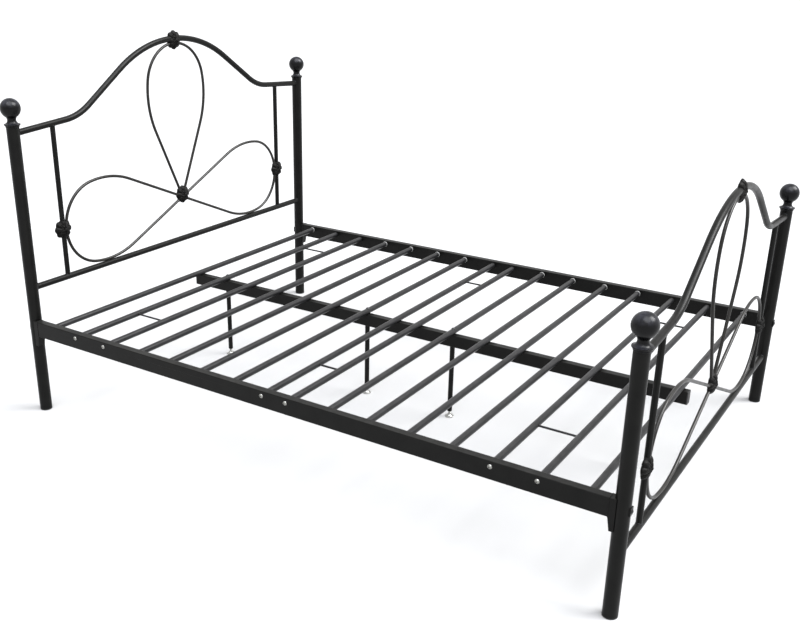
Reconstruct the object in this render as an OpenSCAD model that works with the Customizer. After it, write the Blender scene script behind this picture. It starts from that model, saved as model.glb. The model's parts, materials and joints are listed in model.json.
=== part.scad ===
// Double bed frame in powder-coated steel tube: headboard and footboard with
// three-petal scrollwork, two side rails, a slatted deck and a propped centre beam.
// Millimetres. Origin on the floor at the middle of the bed, +X towards the foot,
// +Y towards the right side as seen from the foot, +Z up.

/* [Frame] */
// Length between the head posts and the foot posts, centre to centre
frame_l = 1945; // [1900:5:2000]
// Width between the left posts and the right posts, centre to centre
frame_w = 1400; // [1380:5:1440]
// Height of the headboard posts, from the floor to the base of the finial
head_post_h = 925; // [900:5:960]
// How much lower the footboard stands than the headboard
foot_drop = 254; // [200:2:280]
// Outer diameter of the corner posts
post_d = 38; // [36:1:40]
// Wall thickness of the corner posts
post_wall = 1.5; // [1.2:0.1:2]

/* [Boards] */
// Outer diameter of the bowed top rails and of the lower rails
board_rail_d = 20; // [18:1:22]
// Outer diameter of the upright spindles
spindle_d = 16; // [14:1:18]
// Wall thickness of the rails and spindles
board_wall = 1.2; // [1:0.1:1.5]
// Distance from a post's axis to the spindle's axis
spindle_inset = 146; // [130:2:160]
// Height of the headboard's lower rail above the floor
lower_rail_h = 420; // [400:5:430]
// How far below the top of its post the top rail is welded on
shoulder_drop = 19; // [16:1:24]
// Slope of the top rail's shoulders, in degrees
shoulder_slope = 4.3; // [2:0.1:6]
// Slope of the top rail's flanks, in degrees
flank_slope = 34; // [32:1:36]
// Bend radius at the crown of the top rail
crown_r = 460; // [420:10:480]
// Bend radius between a flank and a shoulder
valley_r = 200; // [150:10:220]

/* [Scrollwork] */
// Diameter of the bent scroll rods
rod_d = 10; // [6:1:10]
// Radius of a petal's round end
petal_end_r = 137; // [130:1:142]
// Radius of a petal's flanks
petal_flank_r = 300; // [280:5:320]
// Half of the round end's sweep, in degrees
petal_end_sweep = 80; // [76:1:84]
// Diameter of the cast rosettes that hold the joints
rosette_d = 64; // [58:1:64]
// How far a rosette's rim stands out in front of the board's plane
rosette_rim_t = 13; // [13:0.5:15]
// How far a rosette's button stands out in front of the board's plane
rosette_button_t = 18; // [17:0.5:20]
// How far the middle rosette sits above the point where the petals meet
middle_rosette_rise = 9; // [6:1:11]
// How far the two outer rosettes sit above the petals' axis
outer_rosette_rise = 5; // [0:1:6]

/* [Finials] */
// Diameter of the ball
ball_d = 60; // [54:1:64]
// Height of the ball's centre above the top of the post
ball_h = 56; // [54:1:60]
// Diameter of the neck under the ball
neck_d = 26; // [24:1:28]
// Diameter of the flared collar
collar_d = 48; // [46:1:52]

/* [Side rails] */
// Height of the side rails' top face above the floor
deck_h = 316; // [300:2:330]
// Depth of the rectangular side rail tube
side_rail_h = 50; // [48:1:56]
// Width of the rectangular side rail tube
side_rail_w = 25; // [24:1:28]
// How far the side rail's middle lies outside the post's axis
side_rail_offset = 5.5; // [4:0.5:6]
// Wall thickness of the side rails and the centre beam
box_wall = 1.5; // [1.2:0.1:2]
// Height of the saddle bracket welded to each end of a side rail
bracket_h = 84; // [82:1:90]
// Thickness of the saddle bracket, up to the post's nearest point
bracket_t = 8.5; // [8.5:0.5:12]

/* [Slats] */
// Outer diameter of the slat tubes
slat_d = 19; // [17:1:20]
// Wall thickness of the slat tubes
slat_wall = 1.2; // [1:0.1:1.5]
// Spacing of the slats within each half of the deck
slat_pitch = 122; // [116:0.5:123]
// Spacing of the two middle slats
middle_pitch = 81; // [70:1:90]
// Depth of the slat axis below the side rails' top face
slat_depth = 15; // [14:0.5:18]
// Diameter of the spacer wires between bolted slats
spacer_d = 6; // [4:0.5:7]
// Distance of the spacer wires from the bed's centreline
spacer_y = 455; // [420:5:500]

/* [Centre support] */
// Width of the centre beam
beam_w = 25; // [24:1:30]
// Depth of the centre beam
beam_h = 40; // [36:1:44]
// Length of the centre beam with its end caps
beam_l = 1834; // [1824:2:1850]
// Outer diameter of the legs
leg_d = 16; // [16:1:19]
// Height of the lower end of a leg above the floor
leg_clearance = 22; // [22:1:28]
// Diameter of a levelling glide's foot
glide_d = 28; // [24:1:32]
// Diameter of a levelling glide's threaded stud
glide_stud_d = 7.8; // [7.8:0.1:7.9]

/* [Hidden] */
$fn = 96;

// Clearance between faces that are welded or clamped together
seat_gap = 0.05;
// Extra diameter of a hole or cope that seats on a bar
grip = 2 * seat_gap;
// Clearance between bars that pass side by side in a rosette
touch_gap = 0.3;
// Extra diameter of a hole that a loose screw or peg passes through
hole_slack = 0.4;
// How far a cutting shape runs on past the face that it opens
cut = 1;
// Length by which one stretch of a bent bar runs on into the next
joint_lap = 1;
// Diameter of the inner of two such stretches, as a share of the outer
joint_step = 0.984;

post_r = post_d / 2;
head_x = -frame_l / 2;
foot_x = frame_l / 2;
post_y = frame_w / 2;
foot_plug_t = 4;
foot_plug_depth = 22;

spindle_y = post_y - spindle_inset;
petal_reach = spindle_y - spindle_d / 2 - touch_gap - rod_d / 2;
petal_end_u = petal_reach - petal_end_r;
petal_flank = [
    petal_end_u + (petal_end_r - petal_flank_r) * cos(petal_end_sweep),
    (petal_end_r - petal_flank_r) * sin(petal_end_sweep)
];
petal_half_w = petal_flank.y + petal_flank_r;
petal_slope = asin(petal_flank_r / norm(petal_flank)) + atan2(petal_flank.y, petal_flank.x);
petal_straight = sqrt(norm(petal_flank) ^ 2 - petal_flank_r ^ 2);
petal_start = 14;
scroll_h = lower_rail_h + board_rail_d / 2 + touch_gap + rod_d / 2 + petal_half_w;
crown_h = scroll_h + petal_reach + rod_d / 2 + touch_gap + board_rail_d / 2;

shoulder_h = head_post_h - shoulder_drop;
flank_top = [crown_r * sin(flank_slope), crown_h - crown_r * (1 - cos(flank_slope))];
valley_u = (flank_top.y + tan(flank_slope) * flank_top.x - shoulder_h - tan(shoulder_slope) * post_y)
    / (tan(flank_slope) - tan(shoulder_slope));
valley_v = shoulder_h + tan(shoulder_slope) * (post_y - valley_u);
valley_tangent = valley_r * tan((flank_slope - shoulder_slope) / 2);
flank_end = [valley_u - valley_tangent * cos(flank_slope), valley_v + valley_tangent * sin(flank_slope)];
shoulder_start = [
    valley_u + valley_tangent * cos(shoulder_slope),
    valley_v - valley_tangent * sin(shoulder_slope)
];
valley_centre = flank_end + valley_r * [sin(flank_slope), cos(flank_slope)];
crown_rosette_drop = 5;
rosette_back_t = 7;
rosette_lobes = 8;
lobe_r = rosette_d * 0.18;
lobe_step = 0.5;
rosette_hub_r = rosette_d * 0.24;
rosette_button_r = rosette_d * 0.1;
end_grip_angle = 40;
crown_grip_angle = 10;
gap_w = 32;
gap_t = 4;

side_rail_y = post_y + side_rail_offset;
side_rail_inner_y = side_rail_y - side_rail_w / 2;
box_edge_r = 2.5;
box_bore_r = 1;
bracket_x = frame_l / 2 - post_r - bracket_t;
bracket_nose = 8.5;
bracket_taper = 6;
side_rail_l = 2 * (bracket_x - seat_gap);
post_bolt_drop = 28;
post_bolt_h = deck_h - post_bolt_drop;
peg_rise = 18;
peg_h = deck_h - bracket_h + peg_rise;
peg_d = 6;
peg_l = 8;
peg_root = 4;
post_bolt_d = 8;
post_bolt_tip = 8;
post_washer_t = 2;
post_washer_w = 18;
post_washer_h = 20;

slat_r = slat_d / 2;
slat_h = deck_h - slat_depth;
slats_per_half = 8;
bolted_slats = [2, 3, 8, 9, 14, 15];
leg_slats = [2, 7, 10, 15];
slat_bolt_d = 6;
slat_insert_l = 16;
bolt_tip_gap = 2;
cap_t = 4;
cap_flange_d = slat_d + 2;
cap_plug_l = 15;
cap_peg_d = 7;
cap_peg_l = 5;

beam_top = slat_h - slat_r - seat_gap;
beam_bottom = beam_top - beam_h;
beam_cap_t = 3;
beam_cap_depth = 14;
beam_cap_slack = 1;
leg_top = beam_bottom - seat_gap;
leg_wall = 1.2;
leg_insert_l = 15;
leg_bolt_d = 7.8;
leg_bolt_bore = 8;
leg_bolt_head_d = 12;
leg_bolt_head_t = 3;
leg_bolt_socket = 5;
glide_t = 8;
glide_stud_l = 46;

function board_nodes(end) = [for (part = [
    "post_left", "post_right", "finial_left", "finial_right", "top_rail", "lower_rail",
    "spindle_left", "spindle_right", "scroll_top", "scroll_left", "scroll_right", "rosettes"
]) str(end, "_", part)];

function slat_name(n) = str("slat_", n < 10 ? "0" : "", n);

// Place of slat n along the bed: the halves mirror each other about the middle
function slat_x(n) = n > slats_per_half
    ? middle_pitch / 2 + (n - slats_per_half - 1) * slat_pitch
    : -slat_x(2 * slats_per_half + 1 - n);

function is_in(n, list) = len(search(n, list)) > 0;

function board_x(end) = end == "head" ? head_x : foot_x;
function board_drop(end) = end == "head" ? 0 : foot_drop;

// ---- Bars and tubes ----

// Stands a board drawn flat, x across the bed and y up, at the head or foot
module stand_board(end) {
    translate([board_x(end), 0, -board_drop(end)])
        rotate([90, 0, 90])
            children();
}

// Round bar from point a to point b of the flat board, run on by lap at both ends
module bar(a, b, d, lap = 0) {
    span = b - a;
    start = a - lap * span / norm(span);
    translate([start.x, start.y, 0])
        rotate([0, 90, atan2(span.y, span.x)])
            cylinder(h = norm(span) + 2 * lap, d = d);
}

// Round bar bent about centre c, from angle a1 through sweep degrees, run on by
// lap at both ends
module bend(c, r, a1, sweep, d, lap = 0) {
    extra = lap * 180 / (PI * r);
    translate([c.x, c.y, 0])
        rotate_extrude(angle = sweep + 2 * extra, start = a1 - extra)
            translate([r, 0])
                circle(d = d);
}

// The bowed top rail's path, filled to diameter d. Stretches that meet end to end
// lap a little, the inner one a hair thinner, so that they join as one solid.
module top_rail_path(d) {
    bend([0, crown_h - crown_r], crown_r, 90 - flank_slope, 2 * flank_slope, d);
    for (side = [0, 1])
        mirror([side, 0, 0]) {
            bar(flank_top, flank_end, joint_step * d, joint_lap);
            bend(valley_centre, valley_r, 270 - flank_slope, flank_slope - shoulder_slope, d);
            bar(shoulder_start, [post_y, shoulder_h], joint_step * d, joint_lap);
        }
}

// The lower rail's path, filled to diameter d
module lower_rail_path(d) {
    bar([-post_y, lower_rail_h], [post_y, lower_rail_h], d);
}

// One petal of scroll rod, pointing along x from the middle of the scrollwork
module petal_path(d) {
    flank_d = joint_step * d;
    flank_sweep = 90 + petal_slope - petal_end_sweep;
    far_angle = petal_end_sweep + flank_sweep;
    bend([petal_end_u, 0], petal_end_r, -petal_end_sweep, 2 * petal_end_sweep, d);
    bend(petal_flank, petal_flank_r, petal_end_sweep, flank_sweep, flank_d, joint_lap);
    bend([petal_flank.x, -petal_flank.y], petal_flank_r, -far_angle, flank_sweep, flank_d, joint_lap);
    for (side = [-1, 1]) {
        along = [cos(petal_slope), side * sin(petal_slope)];
        bar(petal_start * along, (petal_straight + 2 * joint_lap) * along, joint_step * flank_d);
    }
}

// Places a petal: turn 0 points right, 90 up, 180 left
module place_petal(turn) {
    translate([0, scroll_h, 0])
        rotate([0, 0, turn])
            children();
}

// Upright round bar of the flat board at distance u, from height v1 to v2
module upright(u, v1, v2, d) {
    translate([u, v1, 0])
        rotate([-90, 0, 0])
            cylinder(h = v2 - v1, d = d);
}

module both_posts() {
    for (side = [-1, 1])
        upright(side * post_y, lower_rail_h - board_rail_d, head_post_h, post_d + 2 * seat_gap);
}

// ---- Headboard and footboard ----

module post(end, side) {
    top = head_post_h - board_drop(end);
    facing = end == "head" ? 1 : -1;
    color([0.11, 0.11, 0.11])
        translate([board_x(end), side * post_y, 0])
            difference() {
                translate([0, 0, foot_plug_t])
                    cylinder(h = top - foot_plug_t, d = post_d);
                translate([0, 0, foot_plug_t - cut])
                    cylinder(h = top, d = post_d - 2 * post_wall);
                translate([-post_r - cut, 0, post_bolt_h])
                    rotate([0, 90, 0])
                        cylinder(h = post_d + 2 * cut, d = post_bolt_d + hole_slack);
                translate([0, 0, peg_h])
                    rotate([0, 90 * facing, 0])
                        cylinder(h = post_r + cut, d = peg_d + hole_slack);
            }
}

// Outline of a finial from its axis outwards, with the top of the post at zero: a
// rounded ring, a collar whose round rim flares up into the neck, and the ball
module finial_outline() {
    neck_r = neck_d / 2;
    ball_r = ball_d / 2;
    ring_edge_r = 2.5;
    ring_inset = 1;
    ring = [post_r - ring_inset, ring_edge_r];
    rim_r = 4;
    rim = [collar_d / 2 - rim_r, 2 * ring_edge_r + rim_r];
    flare_r = 9;
    flare_x = neck_r + flare_r;
    flare = [flare_x, rim.y + sqrt((flare_r + rim_r) ^ 2 - (flare_x - rim.x) ^ 2)];
    throat_r = 12;
    throat_x = neck_r + throat_r;
    throat = [throat_x, ball_h - sqrt((ball_r + throat_r) ^ 2 - throat_x ^ 2)];
    ball = [0, ball_h];
    rim_touch = rim + (flare - rim) * rim_r / (rim_r + flare_r);
    ball_touch = ball + (throat - ball) * ball_r / (ball_r + throat_r);
    difference() {
        union() {
            square([ring.x, 2 * ring_edge_r]);
            translate(ring)
                circle(r = ring_edge_r);
            translate(rim)
                circle(r = rim_r);
            polygon([[0, ring_edge_r], [rim.x, rim.y - rim_r], rim_touch, flare, throat, ball_touch, ball]);
            intersection() {
                translate(ball)
                    circle(r = ball_r);
                square([ball_d, ball_h + ball_d]);
            }
        }
        translate(flare)
            circle(r = flare_r);
        translate(throat)
            circle(r = throat_r);
    }
}

// Hollow of a finial, open downwards through the neck
module finial_hollow() {
    wall = 2.5;
    below = 40;
    translate([0, -below])
        square([neck_d / 2 - wall, ball_h + below]);
    intersection() {
        translate([0, ball_h])
            circle(d = ball_d - 2 * wall);
        square([ball_d, ball_h + ball_d]);
    }
}

module finial(end, side) {
    spigot_depth = 25;
    spigot_r = post_r - post_wall - seat_gap;
    color([0.13, 0.13, 0.13])
        translate([board_x(end), side * post_y, head_post_h - board_drop(end)])
            rotate_extrude()
                difference() {
                    union() {
                        finial_outline();
                        translate([0, -spigot_depth])
                            square([spigot_r, spigot_depth]);
                    }
                    finial_hollow();
                }
}

module top_rail(end) {
    color([0.14, 0.14, 0.14])
        stand_board(end)
            difference() {
                top_rail_path(board_rail_d);
                top_rail_path(board_rail_d - 2 * board_wall);
                both_posts();
            }
}

module lower_rail(end) {
    color([0.12, 0.12, 0.12])
        stand_board(end)
            difference() {
                lower_rail_path(board_rail_d);
                lower_rail_path(board_rail_d - 2 * board_wall);
                both_posts();
            }
}

module spindle(end, side) {
    top = shoulder_h + tan(shoulder_slope) * spindle_inset;
    color([0.12, 0.12, 0.12])
        stand_board(end)
            difference() {
                upright(side * spindle_y, lower_rail_h, top, spindle_d);
                upright(side * spindle_y, lower_rail_h, top, spindle_d - 2 * board_wall);
                lower_rail_path(board_rail_d + grip);
                bar(
                    [side * shoulder_start.x, shoulder_start.y],
                    [side * post_y, shoulder_h],
                    board_rail_d + grip
                );
            }
}

module scroll(end, turn) {
    color([0.16, 0.15, 0.14])
        stand_board(end)
            place_petal(turn)
                petal_path(rod_d);
}

// Disc that reaches from a depth behind the board's plane to a height before it
module disc(back, front, r) {
    translate([0, 0, -back])
        cylinder(h = back + front, r = r);
}

// A cast rosette as a solid, before the bars it grips are taken out of it: a disc
// with lobes that are thick and thin by turns, a raised hub and a button
module rosette_blank() {
    lobe_ring = rosette_d / 2 - lobe_r;
    web_step = 2 * lobe_step;
    disc(rosette_back_t - web_step, rosette_rim_t - web_step, lobe_ring + lobe_r / 2);
    for (n = [0:rosette_lobes - 1]) {
        step = (n % 2) * lobe_step;
        rotate([0, 0, n * 360 / rosette_lobes])
            translate([lobe_ring, 0, 0])
                disc(rosette_back_t - step, rosette_rim_t - step, lobe_r);
    }
    disc(0, (rosette_rim_t + rosette_button_t) / 2, rosette_hub_r);
    disc(0, rosette_button_t, rosette_button_r);
}

// Room between two bars that pass side by side in a rosette, from the axis of the
// inner one at height v to the axis of the outer one at height v + rise
module bar_gap(v, rise) {
    translate([-gap_w / 2, v, -gap_t / 2])
        cube([gap_w, rise, gap_t]);
}

// Rosette at the round end of a petal, gripping the petal and the bar beyond it
module end_rosette(bar_axis, centre) {
    difference() {
        translate(centre)
            rosette_blank();
        bend([0, petal_end_u], petal_end_r, 90 - end_grip_angle, 2 * end_grip_angle, rod_d + grip);
        bar_gap(petal_reach, bar_axis - petal_reach);
        children();
    }
}

module rosettes(end) {
    crown_axis = crown_h - scroll_h;
    color([0.1, 0.1, 0.1])
        stand_board(end) {
            place_petal(0)
                end_rosette(crown_axis, [0, crown_axis - crown_rosette_drop])
                    bend(
                        [0, crown_axis - crown_r],
                        crown_r,
                        90 - crown_grip_angle,
                        2 * crown_grip_angle,
                        board_rail_d + grip
                    );
            for (side = [-1, 1])
                place_petal(side * 90)
                    end_rosette(spindle_y, [side * outer_rosette_rise, spindle_y])
                        bar([-rosette_d, spindle_y], [rosette_d, spindle_y], spindle_d + grip);
            difference() {
                translate([0, scroll_h + middle_rosette_rise, 0])
                    rosette_blank();
                for (turn = [0, 90, 180])
                    for (side = [-1, 1])
                        place_petal(turn + side * petal_slope)
                            bar([petal_start - seat_gap, 0], [rosette_d, 0], rod_d + grip);
            }
        }
}

// ---- Side rails ----

// Rectangular tube section with rounded corners, centred
module box_section(w, h, r) {
    square([w - 2 * r, h], center = true);
    square([w, h - 2 * r], center = true);
    for (x = [-1, 1])
        for (y = [-1, 1])
            translate([x * (w / 2 - r), y * (h / 2 - r)])
                circle(r = r);
}

// Rectangular tube along x, centred, with its own wall
module box_tube(l, w, h) {
    rotate([90, 0, 90])
        translate([0, 0, -l / 2])
            linear_extrude(height = l)
                difference() {
                    box_section(w, h, box_edge_r);
                    box_section(w - 2 * box_wall, h - 2 * box_wall, box_bore_r);
                }
}

module side_rail(side) {
    color([0.13, 0.13, 0.13])
        difference() {
            translate([0, side * side_rail_y, deck_h - side_rail_h / 2])
                box_tube(side_rail_l, side_rail_w, side_rail_h);
            for (n = [1:2 * slats_per_half]) {
                bolted = is_in(n, bolted_slats);
                translate([slat_x(n), side * (side_rail_inner_y - cut), slat_h])
                    rotate([-90 * side, 0, 0])
                        cylinder(
                            h = (bolted ? side_rail_w : box_wall) + 2 * cut,
                            d = (bolted ? slat_bolt_d : cap_peg_d) + hole_slack
                        );
            }
        }
}

// Saddle bracket on the end of a side rail: coped to the post and narrowing below
// the rail, with a threaded hole for the post bolt and a locating peg
module rail_bracket() {
    nose_x = bracket_x + bracket_t + bracket_nose;
    difference() {
        translate([0, side_rail_inner_y + side_rail_w, deck_h])
            rotate([90, 0, 0])
                linear_extrude(height = side_rail_w)
                    polygon([
                        [bracket_x, 0],
                        [bracket_x, -side_rail_h],
                        [bracket_x + bracket_taper, -bracket_h],
                        [nose_x, -bracket_h],
                        [nose_x, 0]
                    ]);
        translate([frame_l / 2, post_y, deck_h - bracket_h - cut])
            cylinder(h = bracket_h + 2 * cut, r = post_r + seat_gap);
        translate([bracket_x - cut, post_y, post_bolt_h])
            rotate([0, 90, 0])
                cylinder(h = bracket_t + 2 * cut, d = post_bolt_d + 2 * seat_gap);
    }
    translate([frame_l / 2 - post_r - peg_root, post_y, peg_h])
        rotate([0, 90, 0])
            cylinder(h = peg_root + peg_l, d = peg_d);
}

// Repeats a part drawn at the foot right corner at all four corners
module at_corners() {
    for (x = [0, 1])
        for (y = [0, 1])
            mirror([x, 0, 0])
                mirror([0, y, 0])
                    children();
}

module rail_brackets() {
    color([0.12, 0.12, 0.12])
        at_corners()
            rail_bracket();
}

// ---- Fasteners ----

// Domed screw head on the plane z = 0, with a hexagon socket
module button_head(d, h, socket) {
    dome_r = ((d / 2) ^ 2 + h ^ 2) / (2 * h);
    socket_floor = 0.35 * h;
    difference() {
        intersection() {
            cylinder(h = h, d = d);
            translate([0, 0, h - dome_r])
                sphere(r = dome_r);
        }
        translate([0, 0, socket_floor])
            cylinder(h = h, d = socket, $fn = 6);
    }
}

// Button-head screw: head above z = 0, shank of length l below it
module screw(d, l, head_d, head_h, socket) {
    button_head(head_d, head_h, socket);
    root = 0.2 * head_h;
    translate([0, 0, -l])
        cylinder(h = l + root, d = d);
}

module post_bolts() {
    color([0.2, 0.2, 0.2])
        at_corners()
            translate([frame_l / 2 + post_r + post_washer_t, post_y, post_bolt_h])
                rotate([0, 90, 0])
                    screw(
                        d = post_bolt_d,
                        l = post_washer_t + post_d + bracket_t + post_bolt_tip,
                        head_d = 14,
                        head_h = 3,
                        socket = 6
                    );
}

// Flat-faced washers hollowed to sit round the posts under the bolt heads
module post_washers() {
    inner = 0.75 * post_r;
    color([0.14, 0.14, 0.14])
        at_corners()
            difference() {
                translate([frame_l / 2 + inner, post_y - post_washer_w / 2, post_bolt_h - post_washer_h / 2])
                    cube([post_r + post_washer_t - inner, post_washer_w, post_washer_h]);
                translate([frame_l / 2, post_y, 0])
                    cylinder(h = head_post_h, r = post_r + seat_gap);
                translate([frame_l / 2, post_y, post_bolt_h])
                    rotate([0, 90, 0])
                        cylinder(h = post_d, d = post_bolt_d + hole_slack);
            }
}

module post_feet() {
    bevel = 1.5;
    color([0.08, 0.08, 0.08])
        at_corners()
            translate([frame_l / 2, post_y, 0]) {
                cylinder(h = bevel, d1 = post_d - 2 * bevel, d2 = post_d);
                translate([0, 0, bevel])
                    cylinder(h = foot_plug_t - bevel, d = post_d);
                translate([0, 0, foot_plug_t])
                    cylinder(h = foot_plug_depth, d = post_d - 2 * post_wall - 2 * seat_gap);
            }
}

// ---- Slats ----

// Round bar across the bed at slat n, reaching y on both sides of the middle
module slat_bar(n, y, d) {
    translate([slat_x(n), y, slat_h])
        rotate([90, 0, 0])
            cylinder(h = 2 * y, d = d);
}

// Upright hole at the middle of slat n
module leg_bolt_hole(n, d) {
    translate([slat_x(n), 0, leg_top - leg_insert_l])
        cylinder(h = deck_h, d = d);
}

module slat(n) {
    bolted = is_in(n, bolted_slats);
    reach = side_rail_inner_y - seat_gap - (bolted ? 0 : cap_t);
    bore = slat_d - 2 * slat_wall;
    color([0.3, 0.3, 0.3])
        difference() {
            slat_bar(n, reach, slat_d);
            slat_bar(n, bolted ? reach - slat_insert_l : reach + cut, bore);
            if (bolted)
                slat_bar(n, reach + cut, slat_bolt_d + 2 * seat_gap);
            if (is_in(n, leg_slats))
                leg_bolt_hole(n, leg_bolt_bore);
        }
}

// Plastic caps on the ends of the slats that are only located, not bolted
module slat_end_caps() {
    loose_slats = [for (n = [1:2 * slats_per_half]) if (!is_in(n, bolted_slats)) n];
    rail_face = side_rail_inner_y - seat_gap;
    flange_end = rail_face - cap_t + seat_gap;
    color([0.62, 0.62, 0.6])
        for (n = loose_slats)
            for (side = [-1, 1])
                translate([slat_x(n), 0, slat_h])
                    rotate([-90 * side, 0, 0]) {
                        translate([0, 0, flange_end])
                            cylinder(h = cap_t - seat_gap, d = cap_flange_d);
                        translate([0, 0, flange_end - cap_plug_l])
                            cylinder(h = cap_plug_l, d = slat_d - 2 * slat_wall - 2 * seat_gap);
                        translate([0, 0, rail_face])
                            cylinder(h = cap_peg_l, d = cap_peg_d);
                    }
}

module slat_bolts() {
    color([0.72, 0.72, 0.7])
        for (n = bolted_slats)
            for (side = [-1, 1])
                translate([slat_x(n), side * (side_rail_y + side_rail_w / 2 + seat_gap), slat_h])
                    rotate([-90 * side, 0, 0])
                        screw(
                            d = slat_bolt_d,
                            l = side_rail_w + slat_insert_l - bolt_tip_gap,
                            head_d = 13,
                            head_h = 4,
                            socket = 5
                        );
}

module spacer_wires() {
    color([0.2, 0.2, 0.2])
        for (n = [2, 8, 14])
            for (side = [-1, 1])
                difference() {
                    translate([slat_x(n), side * spacer_y, slat_h])
                        rotate([0, 90, 0])
                            cylinder(h = slat_x(n + 1) - slat_x(n), d = spacer_d);
                    slat_bar(n, spacer_y + slat_d, slat_d + 2 * seat_gap);
                    slat_bar(n + 1, spacer_y + slat_d, slat_d + 2 * seat_gap);
                }
}

// ---- Centre support ----

module centre_beam() {
    color([0.12, 0.12, 0.12])
        difference() {
            translate([0, 0, beam_top - beam_h / 2])
                box_tube(beam_l - 2 * beam_cap_t, beam_w, beam_h);
            for (n = leg_slats)
                leg_bolt_hole(n, leg_bolt_bore + hole_slack);
        }
}

module beam_end_caps() {
    color([0.08, 0.08, 0.08])
        for (side = [0, 1])
            mirror([side, 0, 0])
                translate([beam_l / 2 - beam_cap_t, 0, beam_top - beam_h / 2])
                    rotate([90, 0, 90]) {
                        linear_extrude(height = beam_cap_t)
                            box_section(beam_w, beam_h, box_edge_r);
                        translate([0, 0, -beam_cap_depth])
                            linear_extrude(height = beam_cap_depth)
                                square(
                                    [beam_w, beam_h] - 2 * (box_wall + beam_cap_slack) * [1, 1],
                                    center = true
                                );
                    }
}

// A leg's tube with a threaded plug in each end
module leg(n) {
    bore = leg_d - 2 * leg_wall;
    color([0.12, 0.12, 0.12])
        translate([slat_x(leg_slats[n - 1]), 0, 0])
            difference() {
                translate([0, 0, leg_clearance])
                    cylinder(h = leg_top - leg_clearance, d = leg_d);
                translate([0, 0, leg_clearance + leg_insert_l])
                    cylinder(h = leg_top - leg_clearance - 2 * leg_insert_l, d = bore);
                translate([0, 0, leg_clearance - cut])
                    cylinder(h = leg_top, d = glide_stud_d + 2 * seat_gap);
            }
}

// Domed bolts that clamp a slat, the beam and a leg together from above
module leg_bolts() {
    slat_top = slat_h + slat_r;
    shank_l = slat_top - leg_top + leg_insert_l - bolt_tip_gap;
    skirt = 3;
    root = 0.5;
    color([0.2, 0.2, 0.2])
        for (n = leg_slats)
            difference() {
                translate([slat_x(n), 0, slat_top]) {
                    button_head(leg_bolt_head_d, leg_bolt_head_t, leg_bolt_socket);
                    translate([0, 0, -skirt])
                        cylinder(h = skirt + root, d = leg_bolt_head_d);
                    translate([0, 0, -shank_l])
                        cylinder(h = shank_l, d = leg_bolt_d);
                }
                difference() {
                    slat_bar(n, leg_bolt_head_d, slat_d + 2 * seat_gap);
                    leg_bolt_hole(n, leg_bolt_d);
                }
            }
}

// Levelling glide: a round foot, a hexagon for the spanner and a threaded stud
module glide(n) {
    rim_t = 4;
    cone_inset = 1;
    cone_w = 6;
    hex_t = 3;
    hex_w = 5;
    color([0.75, 0.75, 0.74])
        translate([slat_x(leg_slats[n - 1]), 0, 0]) {
            cylinder(h = rim_t, d = glide_d);
            translate([0, 0, rim_t])
                cylinder(h = glide_t - rim_t, d1 = glide_d - 2 * cone_inset, d2 = glide_stud_d + cone_w);
            translate([0, 0, glide_t])
                cylinder(h = hex_t, d = glide_stud_d + hex_w, $fn = 6);
            translate([0, 0, glide_t])
                cylinder(h = glide_stud_l, d = glide_stud_d);
        }
}

post("head", -1);  // head_post_left
post("head", 1);  // head_post_right
finial("head", -1);  // head_finial_left
finial("head", 1);  // head_finial_right
top_rail("head");  // head_top_rail
lower_rail("head");  // head_lower_rail
spindle("head", -1);  // head_spindle_left
spindle("head", 1);  // head_spindle_right
scroll("head", 90);  // head_scroll_top
scroll("head", 180);  // head_scroll_left
scroll("head", 0);  // head_scroll_right
rosettes("head");  // head_rosettes
post("foot", -1);  // foot_post_left
post("foot", 1);  // foot_post_right
finial("foot", -1);  // foot_finial_left
finial("foot", 1);  // foot_finial_right
top_rail("foot");  // foot_top_rail
lower_rail("foot");  // foot_lower_rail
spindle("foot", -1);  // foot_spindle_left
spindle("foot", 1);  // foot_spindle_right
scroll("foot", 90);  // foot_scroll_top
scroll("foot", 180);  // foot_scroll_left
scroll("foot", 0);  // foot_scroll_right
rosettes("foot");  // foot_rosettes
side_rail(-1);  // side_rail_left
side_rail(1);  // side_rail_right
rail_brackets();
slat_end_caps();
spacer_wires();
for (n = [1:16])
    slat(n);
centre_beam();
beam_end_caps();
leg_bolts();
slat_bolts();
post_bolts();
post_washers();
post_feet();
for (n = [1:4])
    leg(n);
for (n = [1:4])
    glide(n);
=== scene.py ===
import json
import math

import bpy
from mathutils import Matrix, Vector, noise


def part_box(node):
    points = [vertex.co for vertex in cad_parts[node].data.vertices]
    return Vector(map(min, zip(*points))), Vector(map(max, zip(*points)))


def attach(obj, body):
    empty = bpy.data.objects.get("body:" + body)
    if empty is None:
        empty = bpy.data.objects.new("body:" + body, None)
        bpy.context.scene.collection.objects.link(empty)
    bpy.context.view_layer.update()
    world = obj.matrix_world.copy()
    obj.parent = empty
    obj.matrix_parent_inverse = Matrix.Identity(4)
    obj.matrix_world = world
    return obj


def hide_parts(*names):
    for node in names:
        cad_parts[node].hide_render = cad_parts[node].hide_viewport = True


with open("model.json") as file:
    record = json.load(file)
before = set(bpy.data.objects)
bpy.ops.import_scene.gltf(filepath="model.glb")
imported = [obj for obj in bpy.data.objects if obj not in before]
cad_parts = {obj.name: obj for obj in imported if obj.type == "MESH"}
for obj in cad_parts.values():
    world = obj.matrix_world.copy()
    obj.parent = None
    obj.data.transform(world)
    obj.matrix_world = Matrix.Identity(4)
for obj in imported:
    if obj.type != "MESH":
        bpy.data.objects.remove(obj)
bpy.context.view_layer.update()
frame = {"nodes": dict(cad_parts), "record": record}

MM = 0.001
FRAME_BODY = "frame"
ENDS = ("head", "foot")
SIDES = {"left": -1, "right": 1}
ALONG = Vector((1, 0, 0))
ACROSS = Vector((0, 1, 0))
UP = Vector((0, 0, 1))
SLATS = range(1, 17)
BOLTED_PAIRS = ((2, 3), (8, 9), (14, 15))
GLIDES = range(1, 5)


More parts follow.
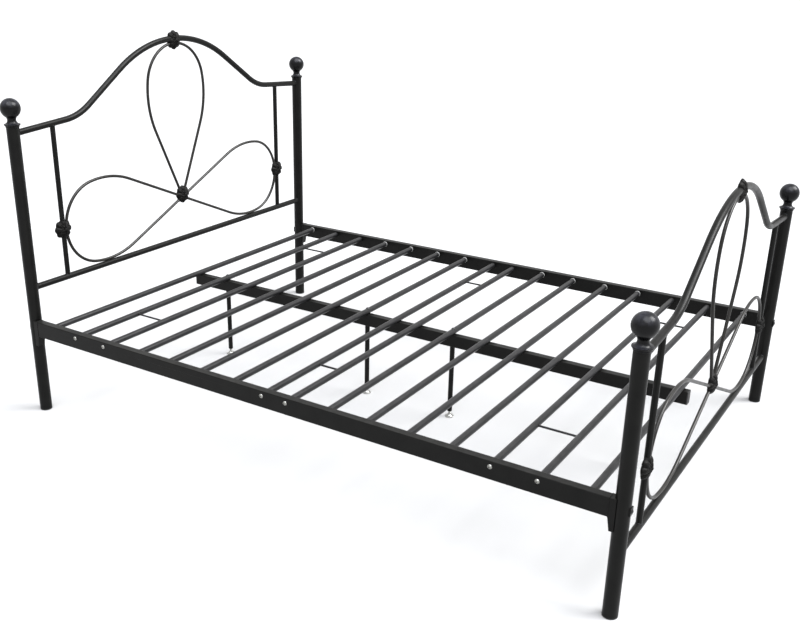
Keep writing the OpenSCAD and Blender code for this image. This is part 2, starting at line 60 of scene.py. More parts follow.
# ---- Camera ----

# Place in metres, angles in degrees, lens in millimetres
CAMERA_PLACE = (1.5247, -2.6106, 1.4638)
CAMERA_AZIMUTH = 32.48
CAMERA_ELEVATION = 21.72
CAMERA_ROLL = 0.80
CAMERA_LENS = 44.61
CAMERA_SHIFT = (0.0328, 0.0162)
CAMERA_REACH = 200


def make_camera():
    azimuth, elevation, roll = map(
        math.radians, (CAMERA_AZIMUTH, CAMERA_ELEVATION, CAMERA_ROLL)
    )
    back = Vector((
        math.sin(azimuth) * math.cos(elevation),
        -math.cos(azimuth) * math.cos(elevation),
        math.sin(elevation),
    ))
    right = Vector((math.cos(azimuth), math.sin(azimuth), 0))
    up = back.cross(right)
    turned_right = math.cos(roll) * right + math.sin(roll) * up
    turned_up = math.cos(roll) * up - math.sin(roll) * right
    data = bpy.data.cameras.new("camera")
    data.lens = CAMERA_LENS
    data.shift_x, data.shift_y = CAMERA_SHIFT
    data.clip_end = CAMERA_REACH
    camera = bpy.data.objects.new("camera", data)
    bpy.context.scene.collection.objects.link(camera)
    rotation = Matrix((turned_right, turned_up, back)).transposed().to_4x4()
    camera.matrix_world = Matrix.Translation(CAMERA_PLACE) @ rotation
    bpy.context.scene.camera = camera


make_camera()


# ---- Places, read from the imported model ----

# Sizes that the model's boxes don't tell
ROSETTE_R = 32 * MM
MIDDLE_ROSETTE_RISE = 9 * MM
OUTER_ROSETTE_RISE = 5 * MM
SHOULDER_DROP = 19 * MM
SHOULDER_SLOPE = math.radians(4.3)


def middle(node):
    low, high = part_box(node)
    return (low + high) / 2


def board_places(end):
    """Places of one board's tubes and castings, and the radii of its tubes."""
    post_low, post_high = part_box(f"{end}_post_right")
    rail_low, rail_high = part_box(f"{end}_lower_rail")
    spindle_low, spindle_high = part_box(f"{end}_spindle_right")
    return {
        "x": middle(f"{end}_lower_rail").x,
        "post_y": middle(f"{end}_post_right").y,
        "post_r": (post_high.x - post_low.x) / 2,
        "rail_r": (rail_high.x - rail_low.x) / 2,
        "rail_z": middle(f"{end}_lower_rail").z,
        "spindle_y": middle(f"{end}_spindle_right").y,
        "spindle_r": (spindle_high.x - spindle_low.x) / 2,
        "shoulder_z": post_high.z - SHOULDER_DROP,
        "scroll_z": middle(f"{end}_scroll_right").z,
        "crown_z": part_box(f"{end}_rosettes")[1].z - ROSETTE_R,
    }


BOARDS = {end: board_places(end) for end in ENDS}


# ---- Meshes ----

def add_piece(name, vertices, faces, body, slot, smooth=True):
    mesh = bpy.data.meshes.new(name)
    mesh.from_pydata([tuple(v) for v in vertices], [], faces)
    mesh.validate()
    if smooth:
        mesh.polygons.foreach_set("use_smooth", [True] * len(mesh.polygons))
    obj = bpy.data.objects.new(name, mesh)
    bpy.context.scene.collection.objects.link(obj)
    mesh.materials.append(MATERIALS[slot])
    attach(obj, body)
    return obj


class Build:
    """Collects several closed shapes into one mesh."""

    def __init__(self):
        self.vertices, self.faces = [], []

    def add(self, vertices, faces):
        base = len(self.vertices)
        self.vertices += vertices
        self.faces += [[base + i for i in face] for face in faces]

    def piece(self, name, body, slot, smooth=True):
        return add_piece(name, self.vertices, self.faces, body, slot, smooth)


def strip_faces(rows, columns, close_rows=False):
    """Quads between rows of a grid whose rows are closed rings of so many columns."""
    faces = []
    for i in range(rows if close_rows else rows - 1):
        j = (i + 1) % rows
        for k in range(columns):
            m = (k + 1) % columns
            faces.append([i * columns + k, i * columns + m, j * columns + m, j * columns + k])
    return faces


def ring_ends(rows, columns):
    """The two flat ends of such a grid, over its first and its last ring."""
    last = (rows - 1) * columns
    return [list(range(columns))[::-1], [last + k for k in range(columns)]]


NEARLY_UPRIGHT = 0.9


def side_axes(axis):
    """Two unit vectors square to axis and to each other."""
    start = UP if abs(axis.z) < NEARLY_UPRIGHT else ALONG
    u = start.cross(axis).normalized()
    return u, axis.cross(u)


# ---- Weld beads ----

# Radii of the beads: most of them, and those of the smaller joints
BEAD_R = 1.7 * MM
SIDE_RAIL_BEAD_R = 1.5 * MM
SPINDLE_BEAD_R = 1.4 * MM
SPACER_BEAD_R = 1.0 * MM
# Length of one ripple, and the steps of the path round a tube and a rectangle
BEAD_PITCH = 1.5 * MM
TUBE_STEP = 0.28 * BEAD_PITCH
RECTANGLE_STEP = 0.3 * BEAD_PITCH
FEWEST_STEPS = 24
BEAD_SIDES = 10
# Shares of a bead's radius: how deep its middle sits, what is there without ripples,
# what a ripple adds, and how much it wanders from one place to the next
BEAD_SINK = 0.25
BEAD_BASE = 0.88
BEAD_RIPPLE = 0.16
BEAD_WANDER = 0.16
# Fineness of that wandering
WANDER_PER_METRE = 180
# How far before a joint the search along its tube starts
RUN_UP = 0.1
# Corners of the side rails' outline
SIDE_RAIL_CORNER_R = 2.5 * MM
CORNER_STEPS = 6
# First seed of the wandering at each kind of joint
SEEDS = {
    "top_rail": 0,
    "lower_rail": 10,
    "spindle_foot": 20,
    "spindle_top": 30,
    "side_rail": 50,
    "spacer": 70,
}


def bead(build, path, lifts, radius, seed):
    """A closed rippled bead along path, raised towards lifts, its ripples like scales."""
    count = len(path)
    length = 0.0
    rings = []
    for i in range(count):
        ahead, behind = path[(i + 1) % count], path[i - 1]
        tangent = (ahead - behind).normalized()
        lift = (lifts[i] - lifts[i].dot(tangent) * tangent).normalized()
        across = tangent.cross(lift)
        ripple = abs(math.sin(math.pi * length / BEAD_PITCH))
        wander = noise.noise(path[i] * WANDER_PER_METRE + Vector((seed, 0, 0)))
        r = radius * (BEAD_BASE + BEAD_RIPPLE * ripple + BEAD_WANDER * wander)
        centre = path[i] - BEAD_SINK * radius * lift
        for k in range(BEAD_SIDES):
            angle = 2 * math.pi * k / BEAD_SIDES
            rings.append(centre + r * (math.cos(angle) * lift + math.sin(angle) * across))
        length += (ahead - path[i]).length
    build.add(rings, strip_faces(count, BEAD_SIDES, close_rows=True))


def tube_bead(build, start, towards, tube_r, other, other_axis, other_r, seed, radius=BEAD_R):
    """Bead where a tube from start, running towards, meets the side of another tube."""
    axis = towards.normalized()
    other_axis = other_axis.normalized()
    u, v = side_axes(axis)
    count = max(FEWEST_STEPS, round(2 * math.pi * tube_r / TUBE_STEP))
    path, lifts = [], []
    for i in range(count):
        angle = 2 * math.pi * i / count
        radial = math.cos(angle) * u + math.sin(angle) * v
        point = start + tube_r * radial
        offset = point - other
        flat = offset - offset.dot(other_axis) * other_axis
        step = axis - axis.dot(other_axis) * other_axis
        a, b, c = step.dot(step), flat.dot(step), flat.dot(flat) - other_r ** 2
        reach = (-b - math.sqrt(max(b * b - a * c, 0))) / a
        hit = point + reach * axis
        outward = hit - other
        outward = (outward - outward.dot(other_axis) * other_axis).normalized()
        path.append(hit)
        lifts.append(radial + outward)
    bead(build, path, lifts, radius, seed)


def rounded_rectangle(width, height, corner):
    """Points and outward normals round a rectangle with rounded corners, as (u, v)."""
    points = []
    for quarter in range(4):
        cu = (width / 2 - corner) * (1 if quarter in (0, 3) else -1)
        cv = (height / 2 - corner) * (1 if quarter in (0, 1) else -1)
        for i in range(CORNER_STEPS + 1):
            angle = math.radians(90 * quarter + 90 * i / CORNER_STEPS)
            normal = (math.cos(angle), math.sin(angle))
            points.append(((cu + corner * normal[0], cv + corner * normal[1]), normal))
    dense = []
    for (p, n), (q, m) in zip(points, points[1:] + points[:1]):
        parts = max(1, round(math.dist(p, q) / RECTANGLE_STEP))
        for i in range(parts):
            t = i / parts
            dense.append((
                (p[0] + t * (q[0] - p[0]), p[1] + t * (q[1] - p[1])),
                (n[0] + t * (m[0] - n[0]), n[1] + t * (m[1] - n[1])),
            ))
    return dense


def board_welds(end):
    """Beads of both rails on the posts and of the spindles on both rails."""
    b = BOARDS[end]
    build = Build()
    for side, s in enumerate(SIDES.values()):
        post = Vector((b["x"], s * b["post_y"], 0))
        outward = Vector((0, s, 0))
        shoulder = Vector((0, s * math.cos(SHOULDER_SLOPE), -math.sin(SHOULDER_SLOPE)))
        rail_end = Vector((b["x"], s * b["post_y"], b["shoulder_z"]))
        tube_bead(build, rail_end - RUN_UP * shoulder, shoulder, b["rail_r"],
                  post, UP, b["post_r"], SEEDS["top_rail"] + side)
        tube_bead(build, Vector((b["x"], s * (b["post_y"] - RUN_UP), b["rail_z"])), outward,
                  b["rail_r"], post, UP, b["post_r"], SEEDS["lower_rail"] + side)
        foot = Vector((b["x"], s * b["spindle_y"], b["rail_z"]))
        tube_bead(build, foot + RUN_UP * UP, -UP, b["spindle_r"], foot, outward,
                  b["rail_r"], SEEDS["spindle_foot"] + side, SPINDLE_BEAD_R)
        rise = (b["post_y"] - b["spindle_y"]) * math.tan(SHOULDER_SLOPE)
        top = Vector((b["x"], s * b["spindle_y"], b["shoulder_z"] + rise))
        tube_bead(build, top - RUN_UP * UP, UP, b["spindle_r"], top, shoulder,
                  b["rail_r"], SEEDS["spindle_top"] + side, SPINDLE_BEAD_R)
    build.piece(f"{end}_welds", FRAME_BODY, "finial_gloss_coat")


def side_rail_beads(build):
    """Beads round both ends of the side rails, on their brackets."""
    for side in SIDES:
        low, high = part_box(f"side_rail_{side}")
        centre = (low + high) / 2
        size = high - low
        outline = rounded_rectangle(size.y, size.z, SIDE_RAIL_CORNER_R)
        for end, (x, out) in enumerate(((low.x, 1), (high.x, -1))):
            path = [Vector((x, centre.y + p[0], centre.z + p[1])) for p, _ in outline]
            lifts = [Vector((out, n[0], n[1])) for _, n in outline]
            bead(build, path, lifts, SIDE_RAIL_BEAD_R, SEEDS["side_rail"] + end)


def spacer_beads(build):
    """Beads of both ends of the spacer wires on their slats."""
    low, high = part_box("spacer_wires")
    wire_r = (high.z - low.z) / 2
    wire_z = (high.z + low.z) / 2
    for pair in BOLTED_PAIRS:
        slats = [middle(f"slat_{n:02d}") for n in pair]
        slat_low, slat_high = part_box(f"slat_{pair[0]:02d}")
        slat_r = (slat_high.z - slat_low.z) / 2
        mid_x = (slats[0].x + slats[1].x) / 2
        for s in SIDES.values():
            start = Vector((mid_x, s * (high.y - wire_r), wire_z))
            seed = SEEDS["spacer"] + pair[0] + s
            for slat, towards in zip(slats, (-ALONG, ALONG)):
                tube_bead(build, start, towards, wire_r,
                          slat, ACROSS, slat_r, seed, SPACER_BEAD_R)


def deck_welds():
    build = Build()
    side_rail_beads(build)
    spacer_beads(build)
    build.piece("deck_welds", FRAME_BODY, "frame_powder_coat")


# ---- Cast rosettes ----

LOBES = 8
ROSETTE_TURNS = 192
ROSETTE_RINGS = 34
# Shares of the radius: how far the rim dips between two petals, the radius of the
# button, and where the front and the back start to fall away towards the rim
NOTCH = 0.11
BUTTON_SHARE = 0.17
FRONT_FADE = 0.8
BACK_FADE = 0.6
# Power that shapes the rim's dip
NOTCH_POWER = 1.3
# Shares lost at the rim: of the square of the front's height, and of the back's height
FRONT_FALL = 0.7
BACK_FALL = 0.6
# Heights in millimetres: the button's middle and its fall to its edge, the back's
# middle, and a petal's vein, whose width is a share of the petal's
BUTTON_HEIGHT = 17.6
BUTTON_FALL = 4.0
BACK_DEPTH = 6.6
VEIN_DEPTH = 1.0
VEIN_SHARE = 0.07
# A petal's dome is a stretch of a half wave: where it starts, how much of it follows,
# and the power that fills it out
DOME_START = 0.25
DOME_SPAN = 0.78
DOME_POWER = 0.7
# Height and fineness of the coarse and the fine roughness of the casting, and a shift
# that makes each casting's own
COARSE = 0.35 * MM
COARSE_PER_METRE = 260
COARSE_SHIFT = 7
FINE = 0.18 * MM
FINE_PER_METRE = 700
FINE_SHIFT = 3


def petal_layer(turn, rho, inner, outer, crest, edge, groove):
    """Height of a ring of domed petals at a share rho of the radius, turn in petals.

    The ring runs from inner to outer. The dome is crest high at its top and edge high at
    its outer end, and it is groove lower towards the next petal."""
    if not inner <= rho <= outer:
        return 0.0
    across = (turn % 1.0) - 0.5
    along = (rho - inner) / (outer - inner)
    wave = math.sin(math.pi * min(1, DOME_START + DOME_SPAN * along))
    dome = edge + (crest - edge) * wave ** DOME_POWER
    dip = groove * abs(2 * across) ** 3
    vein = VEIN_DEPTH * math.exp(-((across / VEIN_SHARE) ** 2)) * math.sin(math.pi * along)
    return dome - dip - vein


def front_height(turn, rho):
    """Relief of the flower: a button, inner petals, and outer petals half a petal round."""
    button = 0.0
    if rho < BUTTON_SHARE:
        button = BUTTON_HEIGHT - BUTTON_FALL * (rho / BUTTON_SHARE) ** 4
    inner = petal_layer(turn + 0.5, rho, inner=0.0, outer=0.58, crest=15.2, edge=10.0, groove=3.6)
    outer = petal_layer(turn, rho, inner=0.2, outer=1.0, crest=12.2, edge=3.5, groove=3.2)
    fade = max(0.0, (rho - FRONT_FADE) / (1 - FRONT_FADE))
    return max(button, inner, outer) * math.sqrt(1 - FRONT_FALL * fade ** 2)


def back_height(rho):
    """The plain back."""
    fade = max(0.0, (rho - BACK_FADE) / (1 - BACK_FADE))
    return BACK_DEPTH * (1 - BACK_FALL * fade ** 2)


def rosette(name, centre, replaced):
    """A casting with a flower in front and a plain back, round the bars that it grips."""
    vertices = []
    rings = [(i + 1) / ROSETTE_RINGS for i in range(ROSETTE_RINGS)]

    def put(angle, rho, sign):
        turn = angle * LOBES / (2 * math.pi) + 0.5
        across = (turn % 1.0) - 0.5
        radius = ROSETTE_R * (1 - NOTCH + NOTCH * math.cos(math.pi * across) ** NOTCH_POWER)
        relief = front_height(turn, rho) if sign > 0 else back_height(rho)
        height = sign * relief * MM
        u, v = radius * rho * math.cos(angle), radius * rho * math.sin(angle)
        place = Vector((height, u, v))
        rough = COARSE * noise.noise(place * COARSE_PER_METRE + centre * COARSE_SHIFT)
        rough += FINE * noise.noise(place * FINE_PER_METRE + centre * FINE_SHIFT)
        swell = 1 + rough / ROSETTE_R
        return centre + Vector((height + sign * rough, u * swell, v * swell))

    angles = [2 * math.pi * k / ROSETTE_TURNS for k in range(ROSETTE_TURNS)]
    for rho in rings:
        vertices += [put(a, rho, 1) for a in angles]
    vertices += [put(a, 1.0, 0) for a in angles]
    for rho in reversed(rings):
        vertices += [put(a, rho, -1) for a in angles]
    faces = strip_faces(2 * ROSETTE_RINGS + 1, ROSETTE_TURNS)
    tips = ((front_height(0.5, 0.0), 0, True), (-BACK_DEPTH, 2 * ROSETTE_RINGS, False))
    for height, row, in_front in tips:
        first = row * ROSETTE_TURNS
        tip = len(vertices)
        vertices.append(centre + Vector((height * MM, 0, 0)))
        for k in range(ROSETTE_TURNS):
            m = (k + 1) % ROSETTE_TURNS
            faces.append([tip, first + m, first + k] if in_front else [tip, first + k, first + m])
    # The rings run from the front to the back, so the faces are turned to look outwards
    outward = [face[::-1] for face in faces]
    obj = add_piece(name, vertices, outward, FRAME_BODY, "rosette_coat")
    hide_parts(replaced)


def board_rosettes(end):
    b = BOARDS[end]
    places = {
        "crown": (0, b["crown_z"]),
        "centre": (0, b["scroll_z"] + MIDDLE_ROSETTE_RISE),
        "left": (-b["spindle_y"], b["scroll_z"] + OUTER_ROSETTE_RISE),
        "right": (b["spindle_y"], b["scroll_z"] + OUTER_ROSETTE_RISE),
    }
    for name, (y, z) in places.items():
        rosette(f"{end}_rosette_{name}", Vector((b["x"], y, z)), f"{end}_rosettes")


# ---- Turned shapes ----

ARC_STEPS = 5


def lathe(build, profile, centre, axis, sides):
    """Turned shape: profile is (radius, height) from the axis at the bottom to the axis at
    the top."""
    u, v = side_axes(axis)
    inner = [(r, h) for r, h in profile if r > 0]
    vertices = []
    for r, h in inner:
        for k in range(sides):
            angle = 2 * math.pi * k / sides
            vertices.append(
                centre + h * axis + r * (math.cos(angle) * u + math.sin(angle) * v)
            )
    faces = strip_faces(len(inner), sides)
    low, high = len(vertices), len(vertices) + 1
    vertices += [centre + profile[0][1] * axis, centre + profile[-1][1] * axis]
    last = (len(inner) - 1) * sides
    for k in range(sides):
        m = (k + 1) % sides
        faces.append([low, m, k])
        faces.append([high, last + k, last + m])
    build.add(vertices, faces)


def rounded(centre_r, centre_h, radius, start, stop):
    """Points of an arc about (centre_r, centre_h) from angle start to stop, in degrees."""
    angles = [math.radians(start + (stop - start) * i / ARC_STEPS) for i in range(ARC_STEPS + 1)]
    return [(centre_r + radius * math.cos(a), centre_h + radius * math.sin(a)) for a in angles]


# ---- Levelling glides ----

# The round foot: its rim's lower and upper rounding, and its heights above the floor
PAD_EDGE_R = 1.2 * MM
PAD_TOP_EDGE_R = 1.0 * MM
PAD_RIM_H = 3.2 * MM
PAD_T = 8.0 * MM
PAD_SIDES = 64

# The nut on the stud
NUT_LOW = 7.9 * MM
NUT_HIGH = 11 * MM
NUT_ACROSS_CORNERS = 12.8 * MM
NUT_CHAMFER = 0.5 * MM
NUT_SIDES = 48

# The stud's thread, from inside the nut to the stud's end
THREAD_R = 3.9 * MM
THREAD_LOW = 10.5 * MM
THREAD_PITCH = 1.25 * MM
THREAD_DEPTH = 0.62 * MM
THREAD_ROWS = 8
THREAD_SIDES = 28
# The flank is a wave from -0.1 to 1.25, cut flat at 0 in the root and at 1 on the crest
FLANK_RISE = 1.35
FLANK_DROP = 0.1


def thread(build, foot, radius, low, high):
    """Threaded rod along z: its radius follows a helix, which runs out at the top."""
    rows = round((high - low) / THREAD_PITCH * THREAD_ROWS)
    vertices = []
    for i in range(rows + 1):
        z = low + (high - low) * i / rows
        ease = min(1, (high - z) / THREAD_PITCH)
        for k in range(THREAD_SIDES):
            share = (z / THREAD_PITCH - k / THREAD_SIDES) % 1
            wave = FLANK_RISE * (1 - abs(2 * share - 1)) - FLANK_DROP
            crest = min(1.0, max(0.0, wave))
            r = radius - THREAD_DEPTH * (1 - crest * ease)
            angle = 2 * math.pi * k / THREAD_SIDES
            vertices.append(foot + Vector((r * math.cos(angle), r * math.sin(angle), z)))
    faces = strip_faces(rows + 1, THREAD_SIDES)
    build.add(vertices, faces + ring_ends(rows + 1, THREAD_SIDES))


def hexagon(build, foot, across_corners, low, high):
    """Nut blank with chamfered corners."""
    r = across_corners / 2
    inset = r * math.cos(math.pi / 6)
    rows = ((low, inset), (low + NUT_CHAMFER, r), (high - NUT_CHAMFER, r), (high, inset))
    vertices = []
    for z, limit in rows:
        for k in range(NUT_SIDES):
            angle = 2 * math.pi * k / NUT_SIDES
            sector = (angle + math.pi / 6) % (math.pi / 3) - math.pi / 6
            radius = min(inset / math.cos(sector), limit)
            vertices.append(foot + Vector((
                radius * math.cos(angle), radius * math.sin(angle), z
            )))
    faces = strip_faces(len(rows), NUT_SIDES)
    build.add(vertices, faces + ring_ends(len(rows), NUT_SIDES))


def glide(n):
    """A turned foot, and a stud with a nut and a thread."""
    low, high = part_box(f"glide_{n}")
    foot = Vector(((low.x + high.x) / 2, (low.y + high.y) / 2, low.z))
    rim_r = (high.x - low.x) / 2
    profile = [(0, 0.0)]
    profile += rounded(rim_r - PAD_EDGE_R, PAD_EDGE_R, PAD_EDGE_R, -90, 0)
    profile += rounded(rim_r - PAD_TOP_EDGE_R, PAD_RIM_H, PAD_TOP_EDGE_R, 0, 80)
    profile += [(9.0 * MM, 4.9 * MM), (7.4 * MM, 6.6 * MM), (6.9 * MM, PAD_T), (0, PAD_T)]
    disc = Build()
    lathe(disc, profile, foot, UP, PAD_SIDES)
    pad = disc.piece(f"glide_{n}_foot", f"glide_{n}", "nickel_plate")
    steel = Build()
    hexagon(steel, foot, NUT_ACROSS_CORNERS, NUT_LOW, NUT_HIGH)
    thread(steel, foot, THREAD_R, THREAD_LOW, high.z - low.z)
    steel.piece(f"glide_{n}_stud", f"glide_{n}", "nickel_plate", smooth=False)
    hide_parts(f"glide_{n}")


# ---- Slat caps ----

# A flange between a plug inside the slat and a peg through the side rail's wall
CAP_FLANGE_R = 10.5 * MM
CAP_T = 4 * MM
CAP_PLUG_R = 8.2 * MM
CAP_PLUG_L = 8 * MM
CAP_PEG_R = 3.4 * MM
CAP_PEG_L = 5 * MM
CAP_INNER_EDGE_R = 1.4 * MM
CAP_OUTER_EDGE_R = 0.8 * MM
# How far the flange's inner face dips at the plug, and its outer face stands back
CAP_STEP = 0.05 * MM
CAP_SIDES = 40


def slat_caps():
    """Plastic caps on both ends of the slats that no bolt holds."""
    build = Build()
    face_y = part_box("slat_end_caps")[1].y - CAP_PEG_L - CAP_T
    profile = [(0, -CAP_PLUG_L), (CAP_PLUG_R, -CAP_PLUG_L), (CAP_PLUG_R, CAP_STEP)]
    profile += rounded(
        CAP_FLANGE_R - CAP_INNER_EDGE_R, CAP_INNER_EDGE_R, CAP_INNER_EDGE_R, -90, 0)
    profile += rounded(
        CAP_FLANGE_R - CAP_OUTER_EDGE_R, CAP_T - CAP_STEP - CAP_OUTER_EDGE_R,
        CAP_OUTER_EDGE_R, 0, 90)
    profile += [
        (CAP_PEG_R, CAP_T - CAP_STEP),
        (CAP_PEG_R, CAP_T + CAP_PEG_L),
        (0, CAP_T + CAP_PEG_L),
    ]
    for n in SLATS:
        if any(n in pair for pair in BOLTED_PAIRS):
            continue
        slat = middle(f"slat_{n:02d}")
        for s in SIDES.values():
            lathe(build, profile, Vector((slat.x, s * face_y, slat.z)), s * ACROSS, CAP_SIDES)
    obj = build.piece("slat_caps", FRAME_BODY, "cap_plastic")
    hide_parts("slat_end_caps")


# ---- Materials ----

class Nodes:
    """Short names for making a material's nodes."""

    def __init__(self, name):
        self.material = bpy.data.materials.new(name)
        self.material.use_nodes = True
        self.tree = self.material.node_tree
        self.shader = self.tree.nodes["Principled BSDF"]
        self.place = self.add("ShaderNodeTexCoord").outputs["Object"]

    def add(self, kind, **settings):
        node = self.tree.nodes.new(kind)
        for key, value in settings.items():
            setattr(node, key, value)
        return node

    def link(self, source, target):
        self.tree.links.new(source, target)

    def feed(self, target, value):
        """Link a socket to another node's output, or set it to a number or a colour."""
        if isinstance(value, bpy.types.NodeSocket):
            self.link(value, target)
        elif isinstance(value, tuple):
            target.default_value = (*value, 1)
        else:
            target.default_value = value

    def noise(self, size, detail=2, roughness=0.5, stretch=None):
        """Noise whose features are about size metres wide."""
        node = self.add("ShaderNodeTexNoise")
        node.inputs["Scale"].default_value = 1 / size
        node.inputs["Detail"].default_value = detail
        node.inputs["Roughness"].default_value = roughness
        place = self.place
        if stretch:
            mapping = self.add("ShaderNodeMapping")
            mapping.inputs["Scale"].default_value = stretch
            self.link(place, mapping.inputs["Vector"])
            place = mapping.outputs["Vector"]
        self.link(place, node.inputs["Vector"])
        return node.outputs["Fac"]

    def spread(self, source, low, high, to_low, to_high):
        """Stretch the values from low to high over to_low to to_high, and clamp the rest."""
        node = self.add("ShaderNodeMapRange")
        for key, value in (("From Min", low), ("From Max", high),
                           ("To Min", to_low), ("To Max", to_high)):
            node.inputs[key].default_value = value
        self.link(source, node.inputs["Value"])
        return node.outputs["Result"]

    def mix(self, factor, a, b):
        node = self.add("ShaderNodeMix", data_type="RGBA")
        for name, value in (("A", a), ("B", b)):
            self.feed([i for i in node.inputs if i.name == name and i.type == "RGBA"][0], value)
        self.link(factor, node.inputs["Factor"])
        return [o for o in node.outputs if o.type == "RGBA"][0]

    def math(self, operation, a, b):
        node = self.add("ShaderNodeMath", operation=operation)
        self.feed(node.inputs[0], a)
        self.feed(node.inputs[1], b)
        return node.outputs["Value"]

    def soft_edges(self, radius):
        """Normals that round the sharp edges of a solid."""
        node = self.add("ShaderNodeBevel", samples=4)
        node.inputs["Radius"].default_value = radius
        return node.outputs["Normal"]

    def bump(self, height, distance, normal=None):
        node = self.add("ShaderNodeBump")
        node.inputs["Strength"].default_value = 1.0
        node.inputs["Distance"].default_value = distance
        self.link(height, node.inputs["Height"])
        if normal is not None:
            self.link(normal, node.inputs["Normal"])
        return node.outputs["Normal"]

    def facing_up(self):
        """How far the surface faces upwards, from -1 to 1."""
        split = self.add("ShaderNodeSeparateXYZ")
        self.link(self.add("ShaderNodeNewGeometry").outputs["Normal"], split.inputs["Vector"])
        return split.outputs["Z"]

    def set(self, name, value):
        """Feed one of the shader's own sockets."""
        self.feed(self.shader.inputs[name], value)


# Colour of the pale layer on upward faces: partly settled dust, partly painted light from above
DUST_AND_TOP_LIGHT_TINT = (0.085, 0.083, 0.08)
# Range of the upward share over which the dust and the painted top light thicken
DUST_AND_TOP_LIGHT_RAMP = 0.45
PLASTIC_SPECULAR = 0.4
CASTING_SPECULAR = 0.09


def scaled(colour, factor, lift=0.0):
    return tuple(factor * c + lift for c in colour)


def powder_coat(name, dark, light, rough, specular, dust_and_top_light,
                peel=0.05, peel_size=1.8, dust_and_top_light_from=0.55, dust_and_top_light_tint=DUST_AND_TOP_LIGHT_TINT):
    """Baked powder paint: orange peel, fine grain, faint clouds of tone, and a pale layer on what
    faces upwards by more than dust_and_top_light_from, partly settled dust and partly painted
    light from above. The peel is in millimetres."""
    n = Nodes(name)
    clouds = n.spread(n.noise(0.06, detail=4, roughness=0.6), 0.32, 0.68, 0, 1)
    colour = n.mix(clouds, dark, light)
    speck = n.spread(n.noise(0.9 * MM), 0.62, 0.75, 0, 0.35)
    colour = n.mix(speck, colour, scaled(light, 2.2, 0.01))
    # Painted light: faces that point upwards get paler, partly as settled dust and partly as
    # painted light from above
    dust_and_top_light_share = n.spread(n.facing_up(), dust_and_top_light_from, dust_and_top_light_from + DUST_AND_TOP_LIGHT_RAMP, 0, dust_and_top_light)
    patchy = n.spread(n.noise(0.02, detail=5, roughness=0.65), 0.4, 0.7, 0.15, 1)
    n.set("Base Color", n.mix(n.math("MULTIPLY", dust_and_top_light_share, patchy), colour, dust_and_top_light_tint))
    grain = n.noise(peel_size * MM, roughness=0.45)
    fine = n.noise(0.35 * MM, detail=1)
    worn_noise = n.noise(0.035, detail=4, roughness=0.6)
    worn = n.spread(worn_noise, 0.3, 0.7, rough - 0.05, rough + 0.07)
    n.set("Roughness", n.math("ADD", worn, n.spread(fine, 0.3, 0.7, -0.03, 0.03)))
    soft = n.bump(grain, peel * MM, n.soft_edges(0.7 * MM))
    n.set("Normal", n.bump(fine, 0.012 * MM, soft))
    n.set("Specular IOR Level", specular)
    return n.material


def cast_coat(name, dark, light, rough):
    """Paint over a sand casting: coarse grain, pits, rubbed high spots."""
    n = Nodes(name)
    coarse = n.noise(2.4 * MM, detail=5, roughness=0.65)
    n.set("Base Color", n.mix(n.spread(coarse, 0.35, 0.7, 0, 1), dark, light))
    n.set("Roughness", n.spread(coarse, 0.3, 0.7, rough + 0.08, rough - 0.06))
    pits = n.bump(coarse, 0.35 * MM)
    n.set("Normal", n.bump(n.noise(0.6 * MM), 0.08 * MM, pits))
    n.set("Specular IOR Level", CASTING_SPECULAR)
    return n.material


def moulded(name, base, rough):
    """Moulded plastic: a fine sparked texture and slightly uneven colour."""
    n = Nodes(name)
    tone = n.spread(n.noise(0.008, detail=3), 0.3, 0.7, 0, 1)
    n.set("Base Color", n.mix(tone, scaled(base, 0.86), scaled(base, 1.08)))
    spark = n.noise(0.5 * MM, roughness=0.6)
    n.set("Roughness", n.spread(spark, 0.3, 0.7, rough - 0.05, rough + 0.06))
    n.set("Normal", n.bump(spark, 0.03 * MM))
    n.set("Specular IOR Level", PLASTIC_SPECULAR)
    return n.material


def plated(name, base, rough):
    """Zinc or nickel plate: a faint brushed grain, dull patches and dark specks."""
    n = Nodes(name)
    patch = n.spread(n.noise(0.004, detail=4, roughness=0.6), 0.3, 0.7, 0, 1)
    colour = n.mix(patch, scaled(base, 0.8), base)
    specks = n.spread(n.noise(0.7 * MM), 0.66, 0.76, 0, 0.6)
    n.set("Base Color", n.mix(specks, colour, scaled(base, 0.35)))
    n.set("Roughness", n.spread(patch, 0, 1, rough + 0.1, rough - 0.04))
    grain = n.noise(0.6 * MM, stretch=(1, 1, 6))
    n.set("Normal", n.bump(grain, 0.02 * MM, n.soft_edges(0.3 * MM)))
    n.set("Metallic", 1.0)
    return n.material


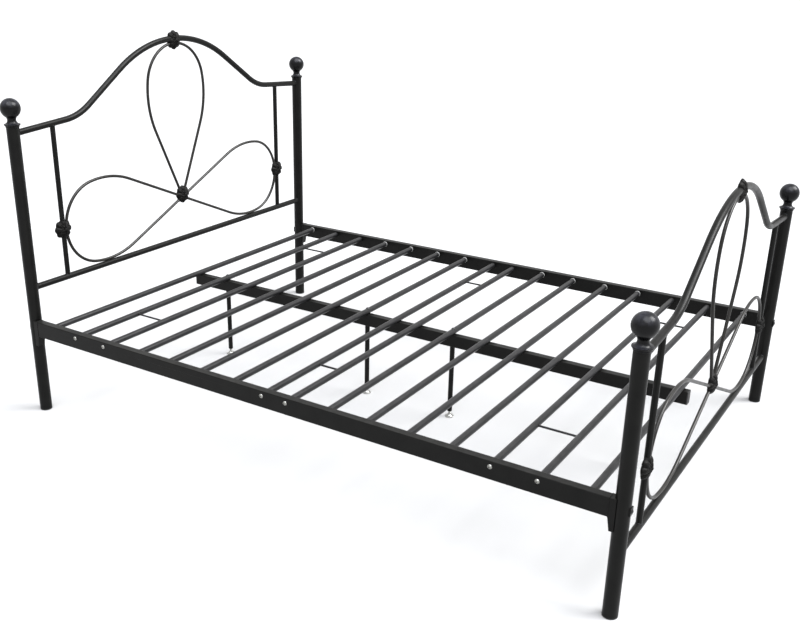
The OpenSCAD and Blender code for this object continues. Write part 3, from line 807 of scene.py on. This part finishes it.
# In each coat the dust share pales the upward faces: partly settled dust, partly painted top
# light
COATS = {
    "frame_powder_coat": (powder_coat, {
        "dark": (0.0024, 0.0024, 0.0022),
        "light": (0.0044, 0.0044, 0.0040),
        "rough": 0.34,
        "specular": 0.12,
        "dust_and_top_light": 0.08,
    }),
    "finial_gloss_coat": (powder_coat, {
        "dark": (0.0008, 0.0008, 0.0009),
        "light": (0.0014, 0.0015, 0.0018),
        "rough": 0.27,
        "specular": 0.17,
        # The pale bluish layer over the upper half, from the dust share on, is a painted
        # reflection of the sky
        "dust_and_top_light": 0.3,
        "dust_and_top_light_from": 0.15,
        "dust_and_top_light_tint": (0.078, 0.08, 0.1),
        "peel": 0.04,
        "peel_size": 2.2,
    }),
    "scroll_coat": (powder_coat, {
        "dark": (0.0045, 0.0040, 0.0034),
        "light": (0.0095, 0.0085, 0.0070),
        "rough": 0.34,
        "specular": 0.3,
        "dust_and_top_light": 0.1,
        "peel_size": 1.2,
    }),
    "slat_coat": (powder_coat, {
        "dark": (0.0050, 0.0050, 0.0054),
        "light": (0.0110, 0.0110, 0.0118),
        "rough": 0.34,
        "specular": 0.24,
        "dust_and_top_light": 0.14,
        "peel": 0.06,
        "peel_size": 2.2,
    }),
    "rosette_coat": (cast_coat, {
        "dark": (0.0012, 0.0012, 0.0012),
        "light": (0.006, 0.0056, 0.005),
        "rough": 0.45,
    }),
    "cap_plastic": (moulded, {"base": (0.24, 0.24, 0.235), "rough": 0.42}),
    "black_plastic": (moulded, {"base": (0.012, 0.012, 0.012), "rough": 0.5}),
    "bright_zinc": (plated, {"base": (0.33, 0.33, 0.31), "rough": 0.36}),
    "black_zinc": (plated, {"base": (0.05, 0.05, 0.05), "rough": 0.38}),
    "nickel_plate": (plated, {"base": (0.46, 0.46, 0.44), "rough": 0.28}),
}
MATERIALS = {name: make(name, **settings) for name, (make, settings) in COATS.items()}


def dress_cad_nodes():
    for part in frame["record"]["subparts"]:
        obj = frame["nodes"][part["node"]]
        for slot in obj.material_slots:
            slot.material = MATERIALS[part["material_slot"]]


dress_cad_nodes()
for end in ENDS:
    board_welds(end)
    board_rosettes(end)
deck_welds()
slat_caps()
for n in GLIDES:
    glide(n)


# ---- Stage ----

FLOOR_HALF = 60
FLOOR_GREY = (0.36, 0.36, 0.36, 1)
FLOOR_ROUGHNESS = 0.9


def make_floor():
    h = FLOOR_HALF
    mesh = bpy.data.meshes.new("floor")
    mesh.from_pydata([(-h, -h, 0), (h, -h, 0), (h, h, 0), (-h, h, 0)], [], [[0, 1, 2, 3]])
    floor = bpy.data.objects.new("floor", mesh)
    bpy.context.scene.collection.objects.link(floor)
    material = bpy.data.materials.new("floor")
    material.use_nodes = True
    shader = material.node_tree.nodes["Principled BSDF"]
    shader.inputs["Base Color"].default_value = FLOOR_GREY
    shader.inputs["Roughness"].default_value = FLOOR_ROUGHNESS
    shader.inputs["Specular IOR Level"].default_value = 0.0
    mesh.materials.append(material)


def make_sun(name, towards, spread, irradiance, tint):
    """A round soft light very far off, in the direction towards, spread degrees across."""
    data = bpy.data.lights.new(name, "SUN")
    data.energy = irradiance
    data.color = tint
    data.angle = math.radians(spread)
    light = bpy.data.objects.new(name, data)
    bpy.context.scene.collection.objects.link(light)
    light.rotation_mode = "QUATERNION"
    light.rotation_quaternion = (-Vector(towards)).to_track_quat("-Z", "Y")


def make_world():
    world = bpy.data.worlds.new("studio")
    bpy.context.scene.world = world
    world.use_nodes = True
    background = world.node_tree.nodes["Background"]
    background.inputs["Color"].default_value = (1, 1, 1, 1)
    background.inputs["Strength"].default_value = 1.0


make_floor()
make_world()
make_sun("overhead_fill", (0.25, -0.3, 0.92), spread=52, irradiance=4.8, tint=(0.93, 0.95, 1.0))
make_sun("foot_side_key", (0.58, 0.32, 0.75), spread=34, irradiance=5.5, tint=(1.0, 1.0, 1.0))
bpy.context.scene.view_settings.view_transform = "Standard"
